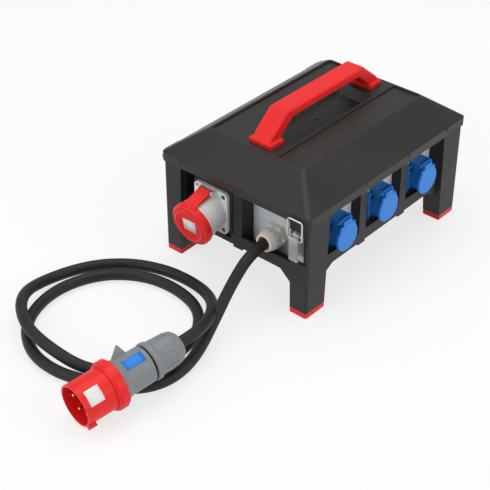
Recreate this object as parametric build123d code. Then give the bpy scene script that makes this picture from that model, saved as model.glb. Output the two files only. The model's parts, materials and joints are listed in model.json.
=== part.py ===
"""Portable power distribution box: moulded base on four legs, hinged hood with a carrying
handle, one five-pole outlet, three earthed outlets, a toggle latch at each end, and a
rubber supply lead with a five-pole plug.  Millimetres, +Z up, origin on the floor under
the middle of the box as it stands without its lead."""
from build123d import *
import math
import os

os.makedirs("parts", exist_ok=True)

# ---------------------------------------------------------------- driving dimensions
length = 400.0              # over the legs, along X
depth = 292.0               # over the legs, along Y
origin_x = 19.11            # where the middle of the legs lies in the frame
origin_y = -3.65

foot_height = 10.0
foot_x = 44.0               # leg section at the floor, along X
foot_y = 32.0               # and along Y
leg_x = 51.0                # leg section at the top
leg_y = 36.0
sill_z = 65.0               # underside of the walls between the legs
sill_top = 85.0             # lower edge of the niches
rail_z = 160.0              # upper edge of the niches
rim_z = 168.0               # underside of the flange that carries the hood
base_top = 172.0
recess = 9.0                # pillars and sills stand back from the legs by this much
wall = 4.0
floor_thickness = 4.0
panel_low = 69.0            # the niches run down behind the sills' lips to here
niche_depth_side = 26.0     # panels stand back from the legs, on the long sides
niche_depth_end = 36.0      # and on the ends
panel_thickness = 3.0
panel_gap = 0.3
back_wall = 4.0
pillar_side = 17.0          # pillars between the three niches of a long side
pillar_end = 18.0           # pillar between the two niches of an end
flare_x = 30.0              # the sills run into the legs over this length
flare_z_side = 15.0
flare_y = 28.0
flare_z_end = 23.0
leg_round = 5.0

hood_wall = 3.5
hood_overhang = 3.0
skirt_bottom = 169.5
skirt_top = 184.0
plateau_z = 224.5
plateau_x = 303.0
plateau_y = 190.0
panel_sink = 2.5            # the two shallow trays in the top
strip_y = 84.0              # raised strip under the handle
pocket_x = 196.0            # hand pocket under the handle
pocket_y = 72.0
pocket_depth = 16.0
pocket_draft = 9.0
gasket_height = 1.5
gasket_width = 3.5

handle_span = 280.0         # over the two feet of the handle
handle_top = 270.0
handle_under = 256.0
handle_width = 35.0
handle_foot_x = 31.0
handle_foot_y = 45.0
handle_foot_z = 9.0

socket_pitch = 106.0
socket_z = 107.0
socket_flange = 50.0
socket_hole_pitch = 38.0
socket_flange_thickness = 7.0
socket_tub_r = 21.4
socket_bore_r = 19.4
socket_out = 24.0           # front edge of the tub, from the panel
lid_r = 24.5
lid_thickness = 4.5
lid_gap = 0.4
pin_y = 27.0                # hinge pin above the socket's centre
pin_out = 20.5              # and out from the panel
pin_r = 1.5
run_clearance = 0.1
ear_inner = 10.0
ear_outer = 15.0
lid_shoulder = 36.0
ear_r = 3.7             # barrel of the ears round the pin

outlet_y = 54.0             # five-pole outlet: centre on the end face
outlet_z = 114.5
outlet_flange_width = 69.0
outlet_flange = 76.0
outlet_hole_width = 53.0
outlet_hole_pitch = 60.0
outlet_flange_thickness = 6.5
outlet_plinth = 23.0        # black plinth that brings the flange out of its niche
outlet_plinth_width = 80.0
outlet_tilt = 10.0
outlet_r = 33.0
outlet_bore_r = 29.5
outlet_length = 40.0        # along the tilted axis
outlet_lid_r = 37.5
outlet_lid_thickness = 11.0
outlet_pin_up = 36.0
outlet_pin_out = 17.0
outlet_neck_width = 23.0

gland_y = -58.0
gland_z = 101.0
gland_hex = 37.0            # across flats
gland_hex_length = 10.0
gland_cap_r = 17.5
gland_length = 33.0         # from the panel to the cap's mouth
cord_diameter = 18.0

latch_y = -125.0            # toggle latches: centre on the end face, near the front
latch_width = 21.0
latch_pocket_depth = 4.0
latch_pocket_low = 99.0
latch_pocket_high = 154.0
latch_sheet = 1.2
latch_ear = 9.0             # ears that hold the lever, either side of the middle
latch_ear_r = 2.6
latch_axle_half = 10.4
lever_half = 8.2
latch_pivot_z = 150.5
latch_pivot_out = 3.4       # from the leg's face
bail_pivot_z = 143.5
bail_pivot_out = 6.4
bail_top_z = 178.0
bail_wire_r = 1.3
bail_half_width = 13.4
lever_low = 108.0

hinge_out = 7.5             # hinge pin behind the rear of the legs
hinge_z = 168.0
hinge_inset = 24.0          # and in from their sides
hinge_knuckle_r = 3.6
hinge_pin_r = 1.5

rail_top = 132.0            # DIN rail inside
rail_length = 250.0
rail_width = 35.0
device_depth = 84.0
device_shoulder = 176.0
device_top = 192.0
module = 17.8               # width of one breaker module
toggle_lean = 25.0
button_r = 2.5

half_x = length / 2
half_y = depth / 2
hinge_y = half_y + hinge_out
hinge_x = half_x - hinge_inset


# ---------------------------------------------------------------- helpers
def block(x0, x1, y0, y1, z0, z1):
    """Box between two corners."""
    size = Box(abs(x1 - x0), abs(y1 - y0), abs(z1 - z0))
    return Pos((x0 + x1) / 2, (y0 + y1) / 2, (z0 + z1) / 2) * size


def rod(radius, height, at=(0, 0, 0)):
    """Cylinder standing on a point, along local Z."""
    shape = Cylinder(radius, height, align=(Align.CENTER, Align.CENTER, Align.MIN))
    return Pos(*at) * shape


def rod_x(radius, x0, x1, y, z):
    """Cylinder along X."""
    shape = Cylinder(radius, x1 - x0, align=(Align.CENTER, Align.CENTER, Align.MIN))
    return Pos(x0, y, z) * Rot(0, 90, 0) * shape


def prism(points, plane, reach):
    """Polygon on a plane, pushed out along its normal by reach."""
    outline = Polyline(*points, close=True)
    return extrude(plane * make_face(outline), reach)


def pad(width, height, radius, z0, z1):
    """Rounded rectangle between two heights."""
    sketch = Pos(0, 0, z0) * RectangleRounded(width, height, radius)
    return extrude(sketch, z1 - z0)


def spin(points):
    """Solid of revolution about local Z from (radius, height) points."""
    outline = Polyline(*[(r, 0, z) for r, z in points], close=True)
    return revolve(Plane.XZ * make_face(Polyline(*points, close=True)), Axis.Z)


def mirrored_corners():
    """Signs of the four corners with the name of each."""
    return [("front_left", -1, -1), ("front_right", 1, -1), ("rear_left", -1, 1), ("rear_right", 1, 1)]


def save(name, shape):
    """Write one piece of the box, moved from the box's middle into the frame."""
    placed = Pos(origin_x, origin_y, 0) * shape
    export_step(Compound(children=list(placed.solids())), f"parts/{name}.step")


# ---------------------------------------------------------------- base
niche_outer_side = half_x - leg_x
niche_outer_end = half_y - leg_y
panel_y = half_y - niche_depth_side      # front of the panels on the long sides
panel_x = half_x - niche_depth_end       # and on the ends
seat_y = panel_y - panel_thickness
seat_x = panel_x - panel_thickness
side_niches = []
for index in (-1, 0, 1):
    low = index * socket_pitch - (socket_pitch - pillar_side) / 2
    high = index * socket_pitch + (socket_pitch - pillar_side) / 2
    side_niches.append((max(low, -niche_outer_side), min(high, niche_outer_side)))
end_niches = [(-niche_outer_end, -pillar_end / 2), (pillar_end / 2, niche_outer_end)]


def base_frame():
    body = pad(length, depth, leg_round, foot_height, base_top)
    # between the legs the faces stand back
    between_side = [(-half_x + foot_x, 0), (half_x - foot_x, 0), (niche_outer_side, rim_z), (-niche_outer_side, rim_z)]
    between_end = [(-half_y + foot_y, 0), (half_y - foot_y, 0), (niche_outer_end, rim_z), (-niche_outer_end, rim_z)]
    body -= prism(between_side, Plane.XZ.offset(half_y - recess), recess + 1)
    body -= prism(between_side, Plane.XZ.offset(-half_y - 1), recess + 1)
    body -= prism(between_end, Plane.YZ.offset(half_x - recess), recess + 1)
    body -= prism(between_end, Plane.YZ.offset(-half_x - 1), recess + 1)
    # arches between the legs
    foot_in = half_x - foot_x
    arch_side = [(-foot_in, 0), (-foot_in + 2, sill_z - flare_z_side), (-foot_in + flare_x, sill_z),
                 (foot_in - flare_x, sill_z), (foot_in - 2, sill_z - flare_z_side), (foot_in, 0)]
    body -= prism(arch_side, Plane.XZ.offset(-half_y - 1), depth + 2)
    foot_in = half_y - foot_y
    arch_end = [(-foot_in, 0), (-foot_in + 2, sill_z - flare_z_end), (-foot_in + flare_y, sill_z),
                (foot_in - flare_y, sill_z), (foot_in - 2, sill_z - flare_z_end), (foot_in, 0)]
    body -= prism(arch_end, Plane.YZ.offset(-half_x - 1), length + 2)
    # niches for the panels
    lip_y = half_y - recess - wall
    lip_x = half_x - recess - wall
    for low, high in side_niches:
        for side in (-1, 1):
            body -= block(low, high, side * seat_y, side * half_y, sill_top, rail_z)
            body -= block(low, high, side * seat_y, side * lip_y, panel_low, rail_z)
    for low, high in end_niches:
        for side in (-1, 1):
            body -= block(side * seat_x, side * half_x, low, high, sill_top, rail_z)
            body -= block(side * seat_x, side * lip_x, low, high, panel_low, rail_z)
    # the inside of the box, open at the top
    inner_x = seat_x - back_wall
    inner_y = seat_y - back_wall
    body -= block(-inner_x, inner_x, -inner_y, inner_y, sill_z + floor_thickness, base_top + 1)
    # rebate behind the flange keeps the wall tops even
    rebate = wall
    body -= block(-half_x + rebate + 10, half_x - rebate - 10, -half_y + rebate + 10, half_y - rebate - 10,
                  rim_z, base_top + 1)
    # windows behind the devices
    window = socket_flange / 2 + 1
    for index in (-1, 0, 1):
        centre = index * socket_pitch
        body -= block(centre - window, centre + window, -seat_y - 1, -inner_y + 1, sill_top + 2, socket_z + window)
    window = outlet_plinth_width / 2 - 6
    body -= block(-seat_x - 1, -inner_x + 1, outlet_y - window, outlet_y + window, sill_top + 2, rail_z - 4)
    body -= block(-seat_x - 1, -inner_x + 1, gland_y - gland_hex / 2, gland_y + gland_hex / 2,
                  gland_z - gland_hex / 2 + 2, gland_z + gland_hex / 2)
    # scoop in the lip under the gland
    scoop = end_plane(gland_y, gland_z, -1).location * rod(gland_cap_r + 1.5, niche_depth_end)
    body -= scoop & block(-half_x, -seat_x, gland_y - 30, gland_y + 30, panel_low, sill_top + 1)
    # notch in the sill for the outlet's plinth
    notch = outlet_plinth_width / 2 + panel_gap
    body -= block(-half_x, -seat_x, outlet_y - notch, outlet_y + notch, outlet_z - notch, rail_z)
    # hollow legs, closed below by the foot caps
    for name, sx, sy in mirrored_corners():
        body -= block(sx * (half_x - foot_x + wall), sx * (half_x - 2 * wall), sy * (half_y - foot_y + wall),
                      sy * (half_y - wall), 0, rail_z)
    # pockets that take the latches
    for side in (-1, 1):
        body -= block(side * (half_x - latch_pocket_depth), side * (half_x + 1), latch_y - latch_width / 2 - 6,
                      -niche_outer_end + 1, latch_pocket_low, latch_pocket_high)
    # posts under the DIN rail
    for sx in (-1, 1):
        body += block(sx * 100, sx * 116, -16, 16, sill_z + floor_thickness - 1, rail_top - 7.5)
    # short lugs where each pillar meets the sill
    for index in (-1, 1):
        for side in (-1, 1):
            centre = index * socket_pitch / 2
            body += block(centre - pillar_side / 2, centre + pillar_side / 2, side * (half_y - recess - 6),
                          side * (half_y - recess), sill_z - 4, sill_z + 1)
    for side in (-1, 1):
        body += block(side * (half_x - recess - 6), side * (half_x - recess), -pillar_end / 2, pillar_end / 2,
                      sill_z - 4, sill_z + 1)
    return body


def foot_cap(sx, sy):
    x0, x1 = sx * (half_x - foot_x), sx * half_x
    y0, y1 = sy * (half_y - foot_y), sy * half_y
    cap = block(x0, x1, y0, y1, 0, foot_height)
    outer = cap.edges().filter_by(Axis.Z).filter_by(
        lambda edge: abs(abs(edge.center().X) - half_x) < 1 and abs(abs(edge.center().Y) - half_y) < 1)
    cap = fillet(outer, leg_round)
    cap = chamfer(cap.faces().sort_by(Axis.Z)[0].edges(), 1.2)
    gap = 0.4
    spigot = block(sx * (half_x - foot_x + wall + gap), sx * (half_x - 2 * wall - gap),
                   sy * (half_y - foot_y + wall + gap), sy * (half_y - wall - gap), foot_height - 1, foot_height + 14)
    return cap + spigot


def panel_blank(width, height):
    """Flat cover plate lying on local Z = 0 with its face outwards."""
    return pad(width - 2 * panel_gap, height - 2 * panel_gap, 1.0, -panel_thickness, 0)


def side_plane(centre_x, centre_z, side):
    """Plane on a long side's panel front: local X to the right, local Y up, Z outwards."""
    return Plane(origin=(centre_x, side * panel_y, centre_z), x_dir=(-side, 0, 0), z_dir=(0, side, 0))


def end_plane(centre_y, centre_z, side):
    """The same on an end's panel front."""
    return Plane(origin=(side * panel_x, centre_y, centre_z), x_dir=(0, side, 0), z_dir=(side, 0, 0))


# ---------------------------------------------------------------- hood
hood_x = length + 2 * hood_overhang
hood_y = depth + 2 * hood_overhang
gasket_top = base_top + gasket_height


def hood():
    body = pad(hood_x, hood_y, leg_round + hood_overhang, skirt_bottom, skirt_top)
    lower = Pos(0, 0, skirt_top) * RectangleRounded(hood_x, hood_y, leg_round + hood_overhang)
    upper = Pos(0, 0, plateau_z) * RectangleRounded(plateau_x, plateau_y, 7)
    body += loft([lower, upper])
    # shallow trays either side of the raised strip
    tray_y = (plateau_y - strip_y) / 2 - 4
    for side in (-1, 1):
        tray = pad(plateau_x - 8, tray_y, 4, plateau_z - panel_sink, plateau_z + 1)
        body -= Pos(0, side * (strip_y + tray_y) / 2, 0) * tray
    # inside
    clear = 0.5
    body -= pad(length + 2 * clear, depth + 2 * clear, leg_round + clear, skirt_bottom - 1, gasket_top)
    inner_x = length - 10
    inner_y = depth - 10
    body -= pad(inner_x, inner_y, 4, gasket_top - 1, skirt_top - 6)
    inner_low = Pos(0, 0, skirt_top - 6.5) * RectangleRounded(inner_x, inner_y, 4)
    inner_high = Pos(0, 0, plateau_z - panel_sink - hood_wall) * RectangleRounded(plateau_x - 10, plateau_y - 10, 4)
    body -= loft([inner_low, inner_high])
    # hand pocket
    pocket_floor = plateau_z - pocket_depth
    under = pad(pocket_x + 4, pocket_y + 4, 6, pocket_floor - hood_wall, plateau_z - panel_sink)
    body += under
    mouth = Pos(0, 0, plateau_z) * RectangleRounded(pocket_x, pocket_y, 8)
    floor = Pos(0, 0, pocket_floor) * RectangleRounded(pocket_x - 2 * pocket_draft, pocket_y - 2 * pocket_draft, 6)
    body -= loft([floor, mouth])
    body -= rod(2.5, hood_wall + 2, (0, 0, pocket_floor - hood_wall - 1))
    # holes for the handle's screws
    for sx in (-1, 1):
        for sy in (-1, 1):
            body -= rod(screw_r + 0.3, 30, (sx * screw_x, sy * screw_y, plateau_z - 20))
    # small lugs on the skirt's upper edge over the pillars and the legs
    lug = 4.0
    for side in (-1, 1):
        for x in (-socket_pitch / 2 - 10, socket_pitch / 2 - 8, niche_outer_side + 2):
            body += block(x - lug / 2, x + lug / 2, side * (half_y - 1), side * (half_y + hood_overhang + 0.8),
                          skirt_top - 6, skirt_top - 0.5)
        for y in (-14.0, niche_outer_end - 2):
            body += block(side * (half_x - 1), side * (half_x + hood_overhang + 0.8), y - lug / 2, y + lug / 2,
                          skirt_top - 6, skirt_top - 0.5)
    return body


def hood_gasket():
    ring = pad(length - 2, depth - 2, leg_round, base_top, gasket_top)
    ring -= pad(length - 2 - 2 * gasket_width, depth - 2 - 2 * gasket_width, 3, base_top - 1, gasket_top + 1)
    return ring


screw_r = 3.0
screw_x = handle_span / 2 - handle_foot_x / 2
screw_y = 12.0


def handle():
    out = handle_span / 2
    inner = out - handle_foot_x
    profile = [(-out + 3, plateau_z), (-out + 3, plateau_z + 8), (-out + 9, plateau_z + 16), (-95, handle_top),
               (95, handle_top), (out - 9, plateau_z + 16), (out - 3, plateau_z + 8), (out - 3, plateau_z),
               (inner, plateau_z), (inner, plateau_z + 9), (82, handle_under), (-82, handle_under),
               (-inner, plateau_z + 9), (-inner, plateau_z)]
    bar = prism(profile, Plane.XZ.offset(-handle_width / 2), handle_width)
    long_edges = bar.edges().filter_by(lambda edge: abs(edge.center().Y) > handle_width / 2 - 0.1
                                       and edge.center().Z > plateau_z + 4)
    bar = chamfer(long_edges, 2.0)
    for side in (-1, 1):
        foot = Pos(side * screw_x, 0, plateau_z) * Box(
            handle_foot_x, handle_foot_y, handle_foot_z, align=(Align.CENTER, Align.CENTER, Align.MIN))
        foot = chamfer(foot.faces().sort_by(Axis.Z)[-1].edges(), 3.0)
        foot = fillet(foot.edges().filter_by(Axis.Z), 3.0)
        bar += foot
        for sy in (-1, 1):
            bar -= rod(screw_r + 0.3, 13, (side * screw_x, sy * screw_y, plateau_z - 1))
        # slots in the inner side of each leg
        for sy in (-1, 1):
            bar -= Pos(side * (inner - 3), sy * 7, plateau_z + 19) * Box(12, 5, 9)
    return bar


def handle_screws():
    screws = []
    for sx in (-1, 1):
        for sy in (-1, 1):
            head_top = plateau_z - panel_sink - hood_wall
            shank = rod(screw_r, 14, (sx * screw_x, sy * screw_y, head_top - 1))
            head = rod(5.0, 3.5, (sx * screw_x, sy * screw_y, head_top - 3.5))
            screws.append(shank + head)
    return Compound(children=screws)


# ---------------------------------------------------------------- earthed outlets
def socket_housing():
    flange = pad(socket_flange, socket_flange, 5, 0, socket_flange_thickness)
    flange = chamfer(flange.faces().sort_by(Axis.Z)[-1].edges(), 0.8)
    body = flange + rod(socket_tub_r, socket_out)
    body += block(-ear_outer, ear_outer, 14, pin_y + 4, 0, pin_out)
    body += rod_x(ear_r, -ear_outer, ear_outer, pin_y, pin_out)
    body += rod(socket_tub_r - 3, 30, (0, 0, -panel_thickness - 22))
    body -= rod(socket_bore_r, socket_out, (0, 0, 5))
    # room for the lid's knuckle between the ears
    body -= block(-ear_inner, ear_inner, pin_y - 5.5, pin_y + 6, pin_out - 6, pin_out + 6)
    body -= rod_x(pin_r + run_clearance, -ear_outer - 1, ear_outer + 1, pin_y, pin_out)
    for sx in (-1, 1):
        for sy in (-1, 1):
            spot = (sx * socket_hole_pitch / 2, sy * socket_hole_pitch / 2, -1)
            body -= rod(2.2, socket_flange_thickness + 2, spot)
    return body


def socket_insert():
    disc = rod(socket_bore_r - 0.2, 3.0, (0, 0, 5))
    for sx in (-1, 1):
        disc -= rod(2.6, 5, (sx * 9.5, 0, 4))
    for sy in (-1, 1):
        disc += block(-3, 3, sy * (socket_bore_r - 3), sy * (socket_bore_r - 1), 7, 18)
    return disc


def socket_lid():
    back = socket_out + lid_gap
    plate = rod(lid_r, lid_thickness, (0, 0, back))
    shoulders = pad(lid_shoulder, 23.0, 3, back, back + lid_thickness)
    plate += Pos(0, pin_y - 4 - 11.5, 0) * shoulders
    plate = chamfer(plate.faces().sort_by(Axis.Z)[-1].edges(), 1.2)
    reach = ear_inner - 0.4
    plate += rod_x(3.6, -reach, reach, pin_y, pin_out)
    plate += block(-reach, reach, pin_y - 5.2, pin_y + 2.5, pin_out + 1, back + lid_thickness - 1.2)
    plate -= rod_x(pin_r + run_clearance, -reach - 1, reach + 1, pin_y, pin_out)
    plate += rod(16.5, 2.2, (0, 0, back - 1.5)) - rod(14.5, 4, (0, 0, back - 2.5))
    return plate


def socket_pin():
    return rod_x(pin_r, -ear_outer - 0.6, ear_outer + 0.6, pin_y, pin_out)


def screw(radius, head_r, length_below, z):
    """Countersunk-style screw whose head stands on height z, shank towards local -Z."""
    body = rod(radius, length_below, (0, 0, z - length_below))
    body += rod(head_r, 1.6, (0, 0, z))
    body -= Pos(0, 0, z + 1.6) * Box(head_r * 1.4, 0.9, 1.6)
    return body


# ---------------------------------------------------------------- five-pole outlet
tilt_plane = Plane.XY.rotated((outlet_tilt, 0, 0))


def tilted(shape):
    """Turn a shape built about Z so that its axis points outwards and a little down."""
    return Pos(0, 0, outlet_plinth) * Rot(outlet_tilt, 0, 0) * shape


def outlet_panel():
    width = end_niches[1][1] - end_niches[1][0]
    plate = panel_blank(width, rail_z - panel_low)
    plate = Pos(0, (panel_low + rail_z) / 2 - outlet_z, 0) * plate
    shift = (end_niches[1][0] + end_niches[1][1]) / 2 - outlet_y
    plate = Pos(-shift, 0, 0) * plate
    plinth = pad(outlet_plinth_width, outlet_plinth_width, 6, 0, outlet_plinth)
    plate += plinth
    plate -= rod(outlet_bore_r - 2, outlet_plinth + 10, (0, 0, -5))
    for sx in (-1, 1):
        for sy in (-1, 1):
            spot = (sx * outlet_hole_width / 2, sy * outlet_hole_pitch / 2, outlet_plinth - 13)
            plate -= rod(1.9, 14, spot)
    return plate


def outlet_housing():
    base = outlet_plinth
    flange = pad(outlet_flange_width, outlet_flange, 9, base, base + outlet_flange_thickness)
    flange = chamfer(flange.faces().sort_by(Axis.Z)[-1].edges(), 1.0)
    barrel = tilted(rod(outlet_r, outlet_length + 12, (0, 0, -8)))
    barrel += tilted(rod(outlet_r + 1.6, 3.0, (0, 0, outlet_length - 7)))
    body = flange + (barrel & block(-60, 60, -60, 60, base, base + 80))
    for low, high, radius in ((-outlet_neck_width / 2 - 6, -outlet_neck_width / 2 - 0.6, 4.8),
                              (outlet_neck_width / 2 + 0.6, outlet_neck_width / 2 + 2.6, 3.6)):
        body += block(low, high, 22, outlet_pin_up + 1, base + 1, base + outlet_pin_out)
        body += rod_x(radius, low, high, outlet_pin_up, base + outlet_pin_out)
    body -= tilted(rod(outlet_bore_r, outlet_length + 30, (0, 0, 8)))
    body -= rod(outlet_bore_r - 6, 30, (0, 0, base - 10))
    body -= rod_x(pin_r + run_clearance, -30, 30, outlet_pin_up, base + outlet_pin_out)
    for sx in (-1, 1):
        for sy in (-1, 1):
            spot = (sx * outlet_hole_width / 2, sy * outlet_hole_pitch / 2)
            body -= rod(2.4, 20, (*spot, base - 1))
            body -= rod(4.2, 20, (*spot, base + 2.5))
    return body


def outlet_insert():
    carrier = rod(outlet_bore_r - 0.3, 14, (0, 0, 8.3))
    for index in range(5):
        angle = math.radians(-90 + 72 * index)
        hole = 3.4 if index == 0 else 2.7
        carrier -= rod(hole, 12, (18 * math.cos(angle), 18 * math.sin(angle), 12))
    return tilted(carrier)


def outlet_lid():
    back = outlet_length + 4 + lid_gap
    front = back + outlet_lid_thickness
    disc = rod(outlet_lid_r, outlet_lid_thickness, (0, 0, back))
    disc = chamfer(disc.faces().sort_by(Axis.Z)[-1].edges(), 3.5)
    disc += spin([(23, front - 0.5), (27, front + 1.6), (31, front - 0.5)])
    disc -= rod(20, 1.0, (0, 0, front - 0.8))
    # neck from the disc up and back to the hinge, in the tilted frame
    turn = math.radians(outlet_tilt)
    rise = outlet_pin_up
    reach = outlet_pin_out
    pin_v = rise * math.cos(turn) + reach * math.sin(turn)
    pin_w = reach * math.cos(turn) - rise * math.sin(turn)
    neck = [(pin_v - 3.8, pin_w), (pin_v + 3.8, pin_w), (pin_v + 1.5, pin_w + 16), (outlet_lid_r - 1, front - 3),
            (20, front - 1.5), (20, back), (outlet_r + 2.6, back)]
    half = outlet_neck_width / 2
    slab = extrude(Plane.YZ.offset(-half) * make_face(Polyline(*neck, close=True)), outlet_neck_width)
    wings = [(-half - 17, 12), (-half - 1, outlet_lid_r + 1), (half + 1, outlet_lid_r + 1), (half + 17, 12)]
    web = extrude(Pos(0, 0, back) * make_face(Polyline(*wings, close=True)), outlet_lid_thickness - 3)
    knuckle = rod_x(4.4, -half, half, pin_v, pin_w)
    lid = disc + slab + web + knuckle
    lid -= rod_x(pin_r + run_clearance, -half - 9, half + 9, pin_v, pin_w)
    return tilted(lid)


def outlet_pin():
    return rod_x(pin_r, -outlet_neck_width / 2 - 5.5, outlet_neck_width / 2 + 3.2, outlet_pin_up, outlet_plinth + outlet_pin_out)


# ---------------------------------------------------------------- gland, along local Z
def gland_body():
    hexagon = extrude(RegularPolygon(gland_hex / 2, 6, major_radius=False), gland_hex_length)
    hexagon = chamfer(hexagon.faces().sort_by(Axis.Z)[-1].edges(), 1.0)
    body = hexagon + rod(18.5, 2, (0, 0, gland_hex_length)) + rod(15.5, 9, (0, 0, gland_hex_length))
    body += rod(15.5, 12, (0, 0, -12))
    body -= rod(cord_diameter / 2 + 1.0, 40, (0, 0, -13))
    return body


def gland_cap():
    start = gland_hex_length + 2.3
    cap = spin([(15.8, start), (gland_cap_r, start), (gland_cap_r, start + 11), (gland_cap_r - 2.5, gland_length),
                (cord_diameter / 2 + 2.2, gland_length), (cord_diameter / 2 + 2.2, start + 7), (15.8, start + 7)])
    for index in range(12):
        rib = Rot(0, 0, 30 * index) * Pos(gland_cap_r, 0, start + 5) * Box(1.6, 3.0, 9)
        cap += rib
    return cap


def gland_seal():
    return rod(cord_diameter / 2 + 2.0, 13, (0, 0, gland_length - 13.6)) - rod(
        cord_diameter / 2, 20, (0, 0, gland_length - 15))


def gland_locknut():
    nut = extrude(RegularPolygon(18, 6, major_radius=False), 5)
    return Pos(0, 0, -panel_thickness - back_wall - 5.3) * (nut - rod(15.7, 9, (0, 0, -1)))


# ---------------------------------------------------------------- toggle latch (left-hand end)
def latch_plate():
    face = half_x - latch_pocket_depth
    half = latch_width / 2
    plate = block(-face, -face - latch_sheet, latch_y - half, latch_y + half, latch_pocket_low + 1,
                  latch_pocket_high - 1)
    pivot_x = -half_x - latch_pivot_out
    for side in (-1, 1):
        y0 = latch_y + side * latch_ear
        y1 = latch_y + side * (latch_ear + latch_sheet)
        plate += block(-face, pivot_x, y0, y1, latch_pivot_z - latch_ear_r, latch_pivot_z + latch_ear_r)
        plate += Pos(pivot_x, (y0 + y1) / 2, latch_pivot_z) * Rot(90, 0, 0) * Cylinder(latch_ear_r, latch_sheet)
    bore = Pos(pivot_x, latch_y, latch_pivot_z) * Rot(90, 0, 0) * Cylinder(1.2, 30)
    return plate - bore


def latch_lever():
    pivot_x = -half_x - latch_pivot_out
    half = lever_half
    front = -half_x - 8.4
    skin = block(front, front - latch_sheet, latch_y - half, latch_y + half, lever_low, latch_pivot_z - 1.5)
    skin += block(front - latch_sheet, -half_x - 2.2, latch_y - half, latch_y + half, lever_low - 1.2, lever_low)
    for side in (-1, 1):
        y0 = latch_y + side * half
        y1 = latch_y + side * (half - latch_sheet)
        skin += block(front, pivot_x + 1.6, y0, y1, bail_pivot_z - 4, latch_pivot_z + 2)
    skin += Pos(pivot_x, latch_y, latch_pivot_z) * Rot(90, 0, 0) * Cylinder(1.1, 2 * latch_axle_half)
    bore = Pos(-half_x - bail_pivot_out, latch_y, bail_pivot_z) * Rot(90, 0, 0) * Cylinder(bail_wire_r + 0.1, 30)
    return skin - bore


def latch_bail():
    x = -half_x - bail_pivot_out
    low, high, half = bail_pivot_z, bail_top_z, bail_half_width
    bend = 4.0
    path = FilletPolyline((x, latch_y - 4, low), (x, latch_y - half, low), (x, latch_y - half, high),
                          (x, latch_y + half, high), (x, latch_y + half, low), (x, latch_y + 4, low), radius=bend)
    start = Plane(origin=path @ 0, z_dir=path % 0)
    return sweep(start * Circle(bail_wire_r), path=path)


def latch_keeper(side):
    lip = block(side * (half_x + hood_overhang), side * (half_x + hood_overhang + 1.2), latch_y - 8, latch_y + 8,
                bail_top_z - 7, bail_top_z + 4)
    return lip


# ---------------------------------------------------------------- hinges at the rear
def hinge_base(x):
    leaf = block(x - 16, x + 16, half_y, half_y + 2.2, hinge_z - 26, hinge_z - 3)
    for low, high in ((-16, -6), (6, 16)):
        leaf += rod_x(hinge_knuckle_r, x + low, x + high, hinge_y, hinge_z)
        leaf += block(x + low, x + high, half_y, hinge_y, hinge_z - 5, hinge_z - 2.2)
    return leaf - rod_x(hinge_pin_r, x - 17, x + 17, hinge_y, hinge_z)


def hinge_hood(x):
    face = half_y + hood_overhang
    leaf = block(x - 16, x + 16, face, face + 2.2, hinge_z + 5, skirt_top - 1)
    leaf += block(x - 5.7, x + 5.7, face, hinge_y, hinge_z + 2.2, hinge_z + 7)
    leaf += rod_x(hinge_knuckle_r, x - 5.7, x + 5.7, hinge_y, hinge_z)
    leaf -= rod_x(hinge_pin_r + run_clearance, x - 17, x + 17, hinge_y, hinge_z)
    return leaf


# ---------------------------------------------------------------- protective devices inside
device_low = rail_top + 0.5
rcd_x = -50.0
rcd_width = 4 * module
breaker_first_x = 15.0


def din_rail():
    top = rail_top
    half = rail_width / 2
    section = [(-half, top), (-half, top - 1), (-half + 5, top - 1), (-half + 5, top - 7.5), (half - 5, top - 7.5),
               (half - 5, top - 1), (half, top - 1), (half, top), (half - 6, top), (half - 6, top - 6.5),
               (-half + 6, top - 6.5), (-half + 6, top)]
    return prism(section, Plane.YZ.offset(-rail_length / 2), rail_length)


def device(x, width):
    """Modular device clipped on the rail: broad body, narrower nose."""
    half = width / 2 - 0.1
    body = block(x - half, x + half, -device_depth / 2, device_depth / 2, rail_top, device_shoulder)
    body += block(x - half, x + half, -22.5, 22.5, device_shoulder, device_top)
    body -= block(x - half - 1, x + half + 1, -rail_width / 2 - 0.2, rail_width / 2 + 0.2, rail_top - 1, rail_top + 0.1)
    body -= block(x - 5, x + 5, -9, 9, device_top - 9, device_top + 1)
    return body


def toggle(x):
    """Lever of a device, resting in its slot; turns about X."""
    lever = rod_x(4.5, x - 4.4, x + 4.4, 0, device_top - 3.5)
    lever += block(x - 4.2, x + 4.2, -2.7, 2.7, device_top - 3.5, device_top + 6.5)
    swing = Pos(x, 0, device_top - 3.5) * Rot(-toggle_lean, 0, 0) * Pos(-x, 0, 3.5 - device_top)
    return swing * lever


# ---------------------------------------------------------------- lead and plug
plug_front = Vector(-571.5, -60.8, 39.5)      # centre of the plug's open rim
plug_rear = Vector(-393.7, -86.5, 52.3)       # centre of its gland
plug_axis = (plug_rear - plug_front).normalized()
plug_length = (plug_rear - plug_front).length
plug_grip = 12.0                              # the lead enters the gland by this much
shroud_r = 32.5
shroud_bore_r = 29.6
collar_r = 38.0
collar_at = 50.0
collar_width = 17.0
body_end = 120.0
nut_start = 123.5
plug_roll = 48.0                              # it lies rolled over, its key towards the front
plug_plane = Plane(origin=plug_front, x_dir=Vector(0, 0, 1).cross(plug_axis), z_dir=plug_axis)

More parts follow.
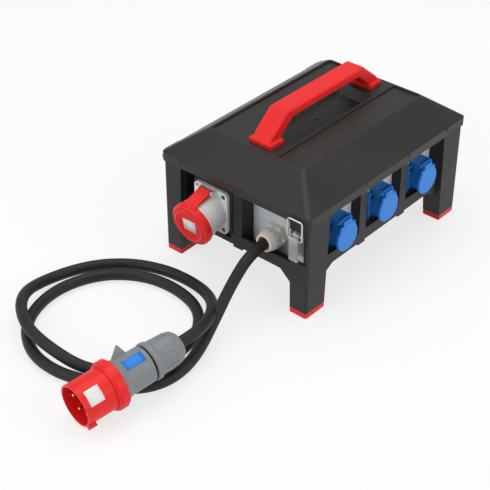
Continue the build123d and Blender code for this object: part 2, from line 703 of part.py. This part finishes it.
gland_mouth_x = origin_x - panel_x - gland_length
cord_start = Vector(gland_mouth_x + 34.0, origin_y + gland_y, gland_z)
cord_end = plug_front + plug_axis * (plug_length - plug_grip)
cord_approach = plug_front + plug_axis * (plug_length + 32.0)
cord_route = [
    cord_start,
    (gland_mouth_x - 25.9, origin_y + gland_y, gland_z), (-248, -61, 68), (-301, -71, 31), (-354, -88, 13), (-403, -97, 9.2),
    (-446, -89, 9.2), (-478, -62, 9.2), (-502, -13, 9.2), (-520, 44, 9.2), (-512, 107, 9.2),
    (-466, 165, 9.2), (-387, 187, 9.2), (-312, 162, 9.2), (-269, 105, 9.2), (-261, 39, 9.2),
    (-278, -21, 9.2), (-327, -59, 9.2), (-387, -66, 9.2), (-447, -45, 9.2), (-489, 7, 10.5),
    (-505, 72, 31), (-493, 137, 32), (-449, 195, 31), (-377, 213, 12), (-307, 191, 9.2),
    (-262, 148, 9.2), (-238, 95, 9.2), (-235, 42, 11.5), (-247, -6, 19), (-275, -46, 32),
    (-320, -78.4, 48.3),
    cord_approach,
    cord_end]


def bend_radii(points):
    """Largest tangent arcs for a route: 0.45 of the shorter run, divided by tan(half turn)."""
    radii = []
    for before, at, after in zip(points, points[1:], points[2:]):
        first, second = at - before, after - at
        half_turn = math.radians(first.get_angle(second)) / 2
        radii.append(0.45 * min(first.length, second.length) / math.tan(half_turn))
    return radii


def cord():
    points = [Vector(point) for point in cord_route]
    radii = bend_radii(points)
    path = FilletPolyline(*points, radius=radii)
    tube = sweep(Plane(origin=path @ 0, z_dir=path % 0) * Circle(cord_diameter / 2), path=path)
    area = math.pi * cord_diameter ** 2 / 4
    print("cord radii", [round(radius) for radius in radii])
    print("cord length", round(path.length, 1), "volume ratio", round(tube.volume / (area * path.length), 5))
    print("cord lowest", round(tube.bounding_box().min.Z, 3))
    return tube


def plug_shroud():
    shell = rod(shroud_r, collar_at + 8) - rod(shroud_bore_r, collar_at, (0, 0, -6))
    collar = spin([(shroud_r - 1, collar_at), (collar_r - 3, collar_at), (collar_r, collar_at + 4),
                   (collar_r, collar_at + collar_width - 2), (collar_r - 2, collar_at + collar_width),
                   (shroud_r - 1, collar_at + collar_width)])
    shell += collar + rod(shroud_r, collar_width, (0, 0, collar_at))
    shell += block(-4, 4, -shroud_r - 5.5, -shroud_r + 2, 0.5, 13)
    shell += Rot(0, 0, 225) * Pos(collar_r - 1.5, 0, collar_at + collar_width / 2 + 1) * Box(5, 16, 12)
    return shell


def plug_pins():
    pins = []
    for index in range(5):
        angle = math.radians(-90 + 72 * index)
        radius = 3.5 if index == 0 else 2.5
        spot = (18 * math.cos(angle), 18 * math.sin(angle), 8)
        pin = rod(radius, collar_at - 14 - radius, (spot[0], spot[1], 8 + radius)) + Pos(
            spot[0], spot[1], 8 + radius) * Sphere(radius)
        pins.append(pin)
    return Compound(children=pins)


def plug_body():
    start = collar_at + collar_width
    shell = spin([(0, start), (32, start), (32, start + 4), (28.7, start + 13), (28.2, body_end), (0, body_end)])
    fin = [(26, start + 8), (43.5, start + 30), (26, start + 37)]
    shell += extrude(Plane.YZ.offset(-2.5) * make_face(Polyline(*fin, close=True)), 5)
    return shell


def plug_seal_ring():
    return rod(25.5, nut_start - body_end, (0, 0, body_end))


def plug_nut():
    shell = spin([(0, nut_start), (28.5, nut_start), (29.5, nut_start + 1.5), (29.5, nut_start + 8), (27.2, nut_start + 11),
                  (25.8, plug_length - 16), (23.5, plug_length - 7), (19, plug_length - 2), (15, plug_length),
                  (0, plug_length)])
    for index in range(6):
        shell += Rot(0, 0, 60 * index) * Pos(26, 0, nut_start + 24) * Box(2.6, 7, 28)
    return shell - rod(cord_diameter / 2, plug_grip + 1, (0, 0, plug_length - plug_grip))


# ---------------------------------------------------------------- write every piece
save("base_frame", base_frame())
for corner, sx, sy in mirrored_corners():
    save(f"foot_cap_{corner}", foot_cap(sx, sy))

panel_height = rail_z - panel_low
panel_mid = (rail_z + panel_low) / 2
panel_width = side_niches[1][1] - side_niches[1][0]
for number, index in enumerate((-1, 0, 1), start=1):
    low, high = side_niches[index + 1]
    plane = side_plane((low + high) / 2, panel_mid, -1)
    plate = plane.location * panel_blank(high - low, panel_height)
    device_plane = side_plane(index * socket_pitch, socket_z, -1)
    plate -= device_plane.location * rod(socket_tub_r - 2.7, 20, (0, 0, -10))
    for sx in (-1, 1):
        for sy in (-1, 1):
            spot = (sx * socket_hole_pitch / 2, sy * socket_hole_pitch / 2, -10)
            plate -= device_plane.location * rod(1.8, 20, spot)
    save(f"socket_panel_{number}", plate)
    save(f"socket_housing_{number}", device_plane.location * socket_housing())
    save(f"socket_insert_{number}", device_plane.location * socket_insert())
    save(f"socket_lid_{number}", device_plane.location * socket_lid())

blanks = []
for low, high in side_niches:
    blanks.append(side_plane((low + high) / 2, panel_mid, 1).location * panel_blank(high - low, panel_height))
for low, high in end_niches:
    blanks.append(end_plane((low + high) / 2, panel_mid, 1).location * panel_blank(high - low, panel_height))
save("blank_panels", Compound(children=blanks))

pins = []
screws = []
for index in (-1, 0, 1):
    device_plane = side_plane(index * socket_pitch, socket_z, -1)
    pins.append(device_plane.location * socket_pin())
    for sx in (-1, 1):
        for sy in (-1, 1):
            spot = Pos(sx * socket_hole_pitch / 2, sy * socket_hole_pitch / 2, 0)
            screws.append(device_plane.location * spot * screw(1.7, 3.4, 9.5, socket_flange_thickness))
save("socket_lid_pins", Compound(children=pins))
save("socket_screws", Compound(children=screws))

outlet_plane = end_plane(outlet_y, outlet_z, -1)
save("outlet_plinth", outlet_plane.location * outlet_panel())
save("outlet_housing", outlet_plane.location * outlet_housing())
save("outlet_insert", outlet_plane.location * outlet_insert())
save("outlet_lid", outlet_plane.location * outlet_lid())
save("outlet_lid_pin", outlet_plane.location * outlet_pin())
screws = []
for sx in (-1, 1):
    for sy in (-1, 1):
        spot = Pos(sx * outlet_hole_width / 2, sy * outlet_hole_pitch / 2, 0)
        screws.append(outlet_plane.location * spot * screw(1.8, 3.8, 13, outlet_plinth + 2.5))
save("outlet_screws", Compound(children=screws))

gland_plane = end_plane(gland_y, gland_z, -1)
low, high = end_niches[0]
plate = end_plane((low + high) / 2, panel_mid, -1).location * panel_blank(high - low, panel_height)
save("gland_panel", plate - gland_plane.location * rod(15.8, 20, (0, 0, -10)))
save("gland_body", gland_plane.location * gland_body())
save("gland_cap", gland_plane.location * gland_cap())
save("gland_seal", gland_plane.location * gland_seal())
save("gland_locknut", gland_plane.location * gland_locknut())

save("latch_left_plate", latch_plate())
save("latch_left_lever", latch_lever())
save("latch_left_bail", latch_bail())
save("latch_right_plate", mirror(latch_plate(), about=Plane.YZ))
save("latch_right_lever", mirror(latch_lever(), about=Plane.YZ))
save("latch_right_bail", mirror(latch_bail(), about=Plane.YZ))
save("latch_keepers", Compound(children=[latch_keeper(-1), latch_keeper(1)]))

save("hood", hood())
save("hood_gasket", hood_gasket())
save("handle", handle())
save("handle_screws", handle_screws())
save("hinge_leaves_base", Compound(children=[hinge_base(-hinge_x), hinge_base(hinge_x)]))
save("hinge_leaves_hood", Compound(children=[hinge_hood(-hinge_x), hinge_hood(hinge_x)]))
hinge_rods = [rod_x(hinge_pin_r, x - 16.5, x + 16.5, hinge_y, hinge_z) for x in (-hinge_x, hinge_x)]
save("hinge_pins", Compound(children=hinge_rods))

save("din_rail", din_rail())
rcd = device(rcd_x, rcd_width)
rcd -= rod(button_r + run_clearance, 6, (rcd_x + 20, 0, device_top - 5))
save("rcd_body", rcd)
save("rcd_lever", toggle(rcd_x))
save("rcd_test_button", rod(button_r, 5, (rcd_x + 20, 0, device_top - 3)))
breakers = []
for index in range(3):
    x = breaker_first_x + (index + 0.5) * module
    breakers.append(device(x, module))
    save(f"breaker_lever_{index + 1}", toggle(x))
save("breaker_bodies", Compound(children=breakers))

placed_cord = cord()
export_step(placed_cord, "parts/supply_cord.step")
for name, shape in (("plug_shroud", plug_shroud()), ("plug_pins", plug_pins()), ("plug_body", plug_body()),
                    ("plug_seal_ring", plug_seal_ring()), ("plug_nut", plug_nut())):
    moved = plug_plane.location * Rot(0, 0, -plug_roll) * shape
    export_step(Compound(children=list(moved.solids())), f"parts/{name}.step")
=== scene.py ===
"""Portable power distribution box: camera, lead, materials and the detail that the CAD solids leave out."""
import json
import math

import bpy
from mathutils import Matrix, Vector


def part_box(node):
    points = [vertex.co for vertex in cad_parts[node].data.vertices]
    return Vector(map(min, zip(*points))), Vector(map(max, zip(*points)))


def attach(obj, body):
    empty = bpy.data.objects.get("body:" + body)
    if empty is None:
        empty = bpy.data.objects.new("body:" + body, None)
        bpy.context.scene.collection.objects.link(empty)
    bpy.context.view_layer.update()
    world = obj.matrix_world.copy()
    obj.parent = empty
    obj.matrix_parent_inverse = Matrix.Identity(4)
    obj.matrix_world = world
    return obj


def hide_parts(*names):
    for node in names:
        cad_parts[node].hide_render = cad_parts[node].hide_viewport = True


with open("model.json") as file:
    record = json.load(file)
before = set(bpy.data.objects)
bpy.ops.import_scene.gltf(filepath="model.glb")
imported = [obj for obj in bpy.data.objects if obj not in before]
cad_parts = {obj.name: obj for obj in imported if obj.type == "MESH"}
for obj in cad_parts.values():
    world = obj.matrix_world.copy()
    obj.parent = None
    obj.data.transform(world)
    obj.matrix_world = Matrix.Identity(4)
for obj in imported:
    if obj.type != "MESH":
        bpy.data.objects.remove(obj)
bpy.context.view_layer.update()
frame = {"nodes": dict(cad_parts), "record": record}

NODES = frame["nodes"]
MM = 0.001


def middle(node):
    """Centre of a CAD piece's box, in metres."""
    low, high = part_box(node)
    return [(a + b) / 2 for a, b in zip(low, high)]


OX, OY, _ = middle("base_frame")     # the middle of the legs

# ------------------------------------------------------------------ camera
CAMERA_FROM_LEGS = (-1.4379, -1.1034)
CAMERA_HEIGHT = 1.2550
VIEW_DIRECTION = Vector((0.6134, 0.5353, -0.5807))
LENS_MM = 96.47
camera_data = bpy.data.cameras.new("camera")
camera_data.sensor_width = 36.0
camera_data.lens = LENS_MM
camera_data.clip_start = 0.05
camera_data.clip_end = 50
camera = bpy.data.objects.new("camera", camera_data)
bpy.context.scene.collection.objects.link(camera)
camera.location = (OX + CAMERA_FROM_LEGS[0], OY + CAMERA_FROM_LEGS[1], CAMERA_HEIGHT)
camera.rotation_euler = VIEW_DIRECTION.to_track_quat("-Z", "Y").to_euler()
bpy.context.scene.camera = camera

# ------------------------------------------------------------------ lead
CORD_D = 18.0 * MM
IN_GLAND = 24                # the lead starts this far inside the gland's mouth, in mm
PLUG_GRIP = 0.012            # and ends this far inside the plug's gland, in m
PLUG_RUN_UP = 0.032          # straight run behind the plug
gland_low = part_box("gland_cap")[0]
gland_mid = middle("gland_cap")
mouth = (gland_low[0], gland_mid[1], gland_mid[2])
plug_front = Vector((-571.5, -60.8, 39.5)) * MM
plug_rear = Vector((-393.7, -86.5, 52.3)) * MM
plug_axis = (plug_rear - plug_front).normalized()
plug_length = (plug_rear - plug_front).length
lead_route = [
    (mouth[0] / MM + IN_GLAND, mouth[1] / MM, mouth[2] / MM),
    (mouth[0] / MM - 25.9, mouth[1] / MM, mouth[2] / MM), (-248, -61, 68), (-301, -71, 31), (-354, -88, 13),
    (-403, -97, 9.2), (-446, -89, 9.2), (-478, -62, 9.2), (-502, -13, 9.2), (-520, 44, 9.2), (-512, 107, 9.2),
    (-466, 165, 9.2), (-387, 187, 9.2), (-312, 162, 9.2), (-269, 105, 9.2), (-261, 39, 9.2),
    (-278, -21, 9.2), (-327, -59, 9.2), (-387, -66, 9.2), (-447, -45, 9.2), (-489, 7, 10.5),
    (-505, 72, 31), (-493, 137, 32), (-449, 195, 31), (-377, 213, 12), (-307, 191, 9.2),
    (-262, 148, 9.2), (-238, 95, 9.2), (-235, 42, 11.5), (-247, -6, 19), (-275, -46, 32),
    (-320, -78.4, 48.3),
    tuple((plug_front + plug_axis * (plug_length + PLUG_RUN_UP)) / MM),
    tuple((plug_front + plug_axis * (plug_length - PLUG_GRIP)) / MM)]
curve = bpy.data.curves.new("supply_lead", "CURVE")
curve.dimensions = "3D"
curve.resolution_u = 16
spline = curve.splines.new("NURBS")
spline.points.add(len(lead_route) - 1)
for point, (x, y, z) in zip(spline.points, lead_route):
    point.co = (x * MM, y * MM, z * MM, 1)
spline.order_u = 3
spline.use_endpoint_u = True
curve.bevel_depth = CORD_D / 2
curve.bevel_resolution = 12
lead = bpy.data.objects.new("supply_lead", curve)
bpy.context.scene.collection.objects.link(lead)


# ------------------------------------------------------------------ materials
def node(tree, kind, at, **values):
    """A shader node, with its named inputs and settings."""
    item = tree.nodes.new(kind)
    item.location = at
    for key, value in values.items():
        if key in item.inputs:
            item.inputs[key].default_value = value
        else:
            setattr(item, key, value)
    return item


EDGE_ROUND = 0.7 * MM        # soft edges of the mouldings, as light sees them


def moulded(name, colour, rough=0.45, vary=0.12, grain=900.0, grain_depth=0.05, swirl=9.0, dust=0.0, spec=0.5):
    """Injection-moulded plastic or rubber: fine grain, slow changes of tone and gloss, a trace of dust."""
    material = bpy.data.materials.new(name)
    material.use_nodes = True
    tree = material.node_tree
    shader = tree.nodes["Principled BSDF"]
    link = tree.links.new
    where = node(tree, "ShaderNodeTexCoord", (-1200, 0))
    slow = node(tree, "ShaderNodeTexNoise", (-950, 200), Scale=swirl, Detail=4.0, Roughness=0.55)
    link(where.outputs["Object"], slow.inputs["Vector"])
    fine = node(tree, "ShaderNodeTexNoise", (-950, -150), Scale=grain, Detail=2.0, Roughness=0.6)
    link(where.outputs["Object"], fine.inputs["Vector"])
    low = [c * (1 - vary) for c in colour]
    high = [min(1, c * (1 + vary) + dust) for c in colour]
    tones = node(tree, "ShaderNodeValToRGB", (-700, 250))
    tones.color_ramp.elements[0].position = 0.3
    tones.color_ramp.elements[0].color = (*low, 1)
    tones.color_ramp.elements[1].position = 0.72
    tones.color_ramp.elements[1].color = (*high, 1)
    link(slow.outputs["Fac"], tones.inputs["Fac"])
    speck = node(tree, "ShaderNodeMix", (-400, 250), data_type="RGBA", blend_type="OVERLAY")
    speck.inputs["Factor"].default_value = 0.12
    link(tones.outputs["Color"], speck.inputs["A"])
    link(fine.outputs["Color"], speck.inputs["B"])
    link(speck.outputs["Result"], shader.inputs["Base Color"])
    gloss = node(tree, "ShaderNodeMapRange", (-700, -50))
    gloss.inputs["From Min"].default_value = 0.3
    gloss.inputs["From Max"].default_value = 0.7
    gloss.inputs["To Min"].default_value = max(0.02, rough - 0.07)
    gloss.inputs["To Max"].default_value = min(1, rough + 0.07)
    link(slow.outputs["Fac"], gloss.inputs["Value"])
    link(gloss.outputs["Result"], shader.inputs["Roughness"])
    edge = node(tree, "ShaderNodeBevel", (-650, -400), samples=6)
    edge.inputs["Radius"].default_value = EDGE_ROUND
    bump = node(tree, "ShaderNodeBump", (-400, -300), Strength=grain_depth, Distance=0.0004)
    link(fine.outputs["Fac"], bump.inputs["Height"])
    link(edge.outputs["Normal"], bump.inputs["Normal"])
    link(bump.outputs["Normal"], shader.inputs["Normal"])
    shader.inputs["Specular IOR Level"].default_value = spec
    return material


def metal(name, colour, rough=0.3, brushed=(60.0, 60.0, 900.0), depth=0.06):
    """Plated or drawn metal: brushed grain along one way, slow tarnish."""
    material = bpy.data.materials.new(name)
    material.use_nodes = True
    tree = material.node_tree
    shader = tree.nodes["Principled BSDF"]
    link = tree.links.new
    shader.inputs["Metallic"].default_value = 1.0
    where = node(tree, "ShaderNodeTexCoord", (-1300, 0))
    stretch = node(tree, "ShaderNodeMapping", (-1100, 0))
    stretch.inputs["Scale"].default_value = brushed
    link(where.outputs["Object"], stretch.inputs["Vector"])
    lines = node(tree, "ShaderNodeTexNoise", (-900, -100), Scale=4.0, Detail=5.0, Roughness=0.7)
    link(stretch.outputs["Vector"], lines.inputs["Vector"])
    stain = node(tree, "ShaderNodeTexNoise", (-900, 200), Scale=45.0, Detail=5.0, Roughness=0.6)
    link(where.outputs["Object"], stain.inputs["Vector"])
    tones = node(tree, "ShaderNodeValToRGB", (-600, 200))
    tones.color_ramp.elements[0].position = 0.3
    tones.color_ramp.elements[0].color = (*[c * 0.82 for c in colour], 1)
    tones.color_ramp.elements[1].position = 0.7
    tones.color_ramp.elements[1].color = (*colour, 1)
    link(stain.outputs["Fac"], tones.inputs["Fac"])
    link(tones.outputs["Color"], shader.inputs["Base Color"])
    gloss = node(tree, "ShaderNodeMapRange", (-600, -50))
    gloss.inputs["To Min"].default_value = max(0.05, rough - 0.08)
    gloss.inputs["To Max"].default_value = rough + 0.12
    link(lines.outputs["Fac"], gloss.inputs["Value"])
    link(gloss.outputs["Result"], shader.inputs["Roughness"])
    bump = node(tree, "ShaderNodeBump", (-300, -300), Strength=depth, Distance=0.0002)
    link(lines.outputs["Fac"], bump.inputs["Height"])
    link(bump.outputs["Normal"], shader.inputs["Normal"])
    return material


MATERIALS = {
    "black_moulding": moulded("black_moulding", (0.018, 0.017, 0.016), 0.5, 0.15, 1500, 0.16, dust=0.001,
                              spec=0.36),
    "black_hood": moulded("black_hood", (0.019, 0.018, 0.016), 0.42, 0.12, 1500, 0.14, dust=0.001, spec=0.36),
    "red_moulding": moulded("red_moulding", (0.76, 0.012, 0.012), 0.38, 0.06, 1100, 0.05, spec=0.32),
    "grey_panel": moulded("grey_panel", (0.56, 0.6, 0.64), 0.42, 0.03, 1200, 0.05),
    "blue_moulding": moulded("blue_moulding", (0.009, 0.15, 0.5), 0.36, 0.08, 1100, 0.04, spec=0.35),
    "blue_insert": moulded("blue_insert", (0.012, 0.075, 0.25), 0.4, 0.08, 1100, 0.04),
    "blue_lid": moulded("blue_lid", (0.012, 0.2, 0.68), 0.35, 0.06, 1100, 0.04, spec=0.35),
    "pale_moulding": moulded("pale_moulding", (0.74, 0.75, 0.73), 0.33, 0.025, 1100, 0.04),
    "gland_plastic": moulded("gland_plastic", (0.72, 0.7, 0.64), 0.4, 0.03, 1100, 0.05),
    "gland_rubber": moulded("gland_rubber", (0.38, 0.075, 0.02), 0.6, 0.12, 1400, 0.1),
    "steel": metal("steel", (0.72, 0.72, 0.71), 0.25),
    "zinc_steel": metal("zinc_steel", (0.66, 0.68, 0.69), 0.32),
    "dark_screw": moulded("dark_screw", (0.016, 0.016, 0.017), 0.4, 0.1, 1200, 0.05),
    "black_rubber": moulded("black_rubber", (0.014, 0.014, 0.014), 0.7, 0.15, 1300, 0.12),
    "cord_rubber": moulded("cord_rubber", (0.014, 0.0135, 0.013), 0.5, 0.2, 1500, 0.2, swirl=22.0, dust=0.002,
                           spec=0.3),
    "grey_plug": moulded("grey_plug", (0.2, 0.215, 0.225), 0.45, 0.05, 1300, 0.1),
    "device_plastic": moulded("device_plastic", (0.7, 0.7, 0.67), 0.4, 0.04, 1200, 0.05),
    "brass": metal("brass", (0.8, 0.62, 0.3), 0.22, (200, 200, 200), 0.03),
}
for entry in frame["record"]["subparts"]:
    piece = NODES.get(entry["node"])
    if piece is None:
        continue
    piece.data.materials.clear()
    piece.data.materials.append(MATERIALS[entry["material_slot"]])
lead.data.materials.append(MATERIALS["cord_rubber"])
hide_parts("supply_cord")
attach(lead, "base")

# ------------------------------------------------------------------ bare labels
LABEL_T = 0.25 * MM


def sheet_piece(name, grid, material, body):
    """A thin printed label, left bare, from a grid of points over the surface that it's stuck to."""
    rows, columns = len(grid), len(grid[0])
    points = [point for row in grid for point in row]
    faces = [(r * columns + c, r * columns + c + 1, (r + 1) * columns + c + 1, (r + 1) * columns + c)
             for r in range(rows - 1) for c in range(columns - 1)]
    mesh = bpy.data.meshes.new(name)
    mesh.from_pydata(points, [], faces)
    mesh.update()
    piece = bpy.data.objects.new(name, mesh)
    bpy.context.scene.collection.objects.link(piece)
    thick = piece.modifiers.new("thickness", "SOLIDIFY")
    thick.thickness = 2 * LABEL_T
    thick.offset = 0
    mesh.materials.append(MATERIALS[material])
    for face in mesh.polygons:
        face.use_smooth = True
    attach(piece, body)
    return piece


plug_side = Vector((0, 0, 1)).cross(plug_axis).normalized()
plug_up = plug_axis.cross(plug_side)


def plug_label(name, material, radius, centre, along, around, lift):
    """Label on the round of the plug: its place and size along the axis, its width around, its lift from -Y."""
    steps_around, steps_along = 14, 4
    half = around / radius / 2
    middle_angle = math.radians(lift)
    grid = []
    for step in range(steps_around + 1):
        angle = middle_angle + half * (2 * step / steps_around - 1)
        out = plug_up * math.sin(angle) - plug_side * math.cos(angle)
        grid.append([tuple(plug_front + plug_axis * (centre + along * (t / steps_along - 0.5)) + out * radius)
                     for t in range(steps_along + 1)])
    return sheet_piece(name, grid, material, "base")


plug_label("plug_front_label", "pale_moulding", 32.65 * MM, 20 * MM, 23 * MM, 24 * MM, 45)
plug_label("plug_body_label", "blue_lid", 28.75 * MM, 97 * MM, 33 * MM, 16.5 * MM, 73)

# the label on the five-pole lid lies in the lid's shallow dish
LID_TILT = math.radians(10)
LID_PIVOT = (-187 * MM, 54 * MM, 114.5 * MM)     # the outlet's axis at its plinth, from the middle of the legs
LABEL_OUT = 54.85 * MM
LABEL_HALF_WIDTH = 13 * MM
LABEL_HALF_HEIGHT = 11 * MM
lid_out = Vector((-math.cos(LID_TILT), 0, -math.sin(LID_TILT)))
lid_up = Vector((-math.sin(LID_TILT), 0, math.cos(LID_TILT)))
lid_across = Vector((0, 1, 0))
lid_face = Vector((OX, OY, 0)) + Vector(LID_PIVOT) + lid_out * LABEL_OUT
lid_grid = [[tuple(lid_face + lid_up * (up * LABEL_HALF_HEIGHT) + lid_across * (across * LABEL_HALF_WIDTH))
             for across in (-1, 0, 1)] for up in (-1, 0, 1)]
sheet_piece("lid_label", lid_grid, "pale_moulding", "outlet_lid")

# the flange's screws are blackened steel
NODES["outlet_screws"].data.materials.clear()
NODES["outlet_screws"].data.materials.append(MATERIALS["dark_screw"])

# ------------------------------------------------------------------ floor and light
scene = bpy.context.scene
scene.view_settings.view_transform = "Standard"


FLOOR_HALF = 9
FLOOR_DROP = 0.0006          # the floor lies just under the feet
FLOOR_GLOW = 0.72            # share of plain white that the camera sees in it


def plain_floor():
    """A pale floor that takes soft shadows and fades to white for the camera."""
    mesh = bpy.data.meshes.new("floor")
    corners = [(-FLOOR_HALF, -FLOOR_HALF, 0), (FLOOR_HALF, -FLOOR_HALF, 0),
               (FLOOR_HALF, FLOOR_HALF, 0), (-FLOOR_HALF, FLOOR_HALF, 0)]
    mesh.from_pydata(corners, [], [(0, 1, 2, 3)])
    floor = bpy.data.objects.new("floor", mesh)
    floor.location.z = -FLOOR_DROP
    scene.collection.objects.link(floor)
    material = bpy.data.materials.new("floor")
    material.use_nodes = True
    tree = material.node_tree
    shader = tree.nodes["Principled BSDF"]
    shader.inputs["Base Color"].default_value = (0.86, 0.86, 0.86, 1)
    shader.inputs["Roughness"].default_value = 0.9
    shader.inputs["Specular IOR Level"].default_value = 0.1
    glow = node(tree, "ShaderNodeEmission", (0, -200), Strength=1.0)
    glow.inputs["Color"].default_value = (1, 1, 1, 1)
    paths = node(tree, "ShaderNodeLightPath", (-400, 400))
    share = node(tree, "ShaderNodeMath", (-150, 300), operation="MULTIPLY")
    share.inputs[1].default_value = FLOOR_GLOW
    seen = node(tree, "ShaderNodeMath", (-300, 300), operation="MAXIMUM")
    blend = node(tree, "ShaderNodeMixShader", (250, 0))
    tree.links.new(paths.outputs["Is Camera Ray"], seen.inputs[0])
    tree.links.new(paths.outputs["Is Glossy Ray"], seen.inputs[1])
    tree.links.new(seen.outputs[0], share.inputs[0])
    tree.links.new(share.outputs[0], blend.inputs[0])
    tree.links.new(shader.outputs[0], blend.inputs[1])
    tree.links.new(glow.outputs[0], blend.inputs[2])
    tree.links.new(blend.outputs[0], tree.nodes["Material Output"].inputs["Surface"])
    mesh.materials.append(material)


plain_floor()
AMBIENT = 0.55               # light from all around; the camera sees plain white there
world = bpy.data.worlds.new("studio")
scene.world = world
world.use_nodes = True
tree = world.node_tree
tree.nodes.clear()
paths = node(tree, "ShaderNodeLightPath", (-400, 200))
dim = node(tree, "ShaderNodeBackground", (0, 0), Strength=AMBIENT)
dim.inputs["Color"].default_value = (1, 1, 1, 1)
white = node(tree, "ShaderNodeBackground", (0, -150), Strength=1.0)
white.inputs["Color"].default_value = (1, 1, 1, 1)
mix = node(tree, "ShaderNodeMixShader", (200, 0))
out = node(tree, "ShaderNodeOutputWorld", (400, 0))
tree.links.new(paths.outputs["Is Camera Ray"], mix.inputs[0])
tree.links.new(dim.outputs[0], mix.inputs[1])
tree.links.new(white.outputs[0], mix.inputs[2])
tree.links.new(mix.outputs[0], out.inputs["Surface"])


BOX_MIDDLE = (0, 0, 0.1)


def softbox(name, at, size, watts):
    """A large soft lamp aimed at the box."""
    data = bpy.data.lights.new(name, "AREA")
    data.shape = "RECTANGLE"
    data.size, data.size_y = size
    data.energy = watts
    lamp = bpy.data.objects.new(name, data)
    lamp.location = at
    lamp.rotation_euler = (Vector(BOX_MIDDLE) - Vector(at)).to_track_quat("-Z", "Y").to_euler()
    scene.collection.objects.link(lamp)


softbox("overhead", (0.1, 0.3, 2.4), (2.4, 1.8), 26)
softbox("left", (-2.3, 0.6, 1.3), (1.6, 1.6), 18)
softbox("front", (0.6, -2.5, 1.4), (1.8, 1.4), 20)
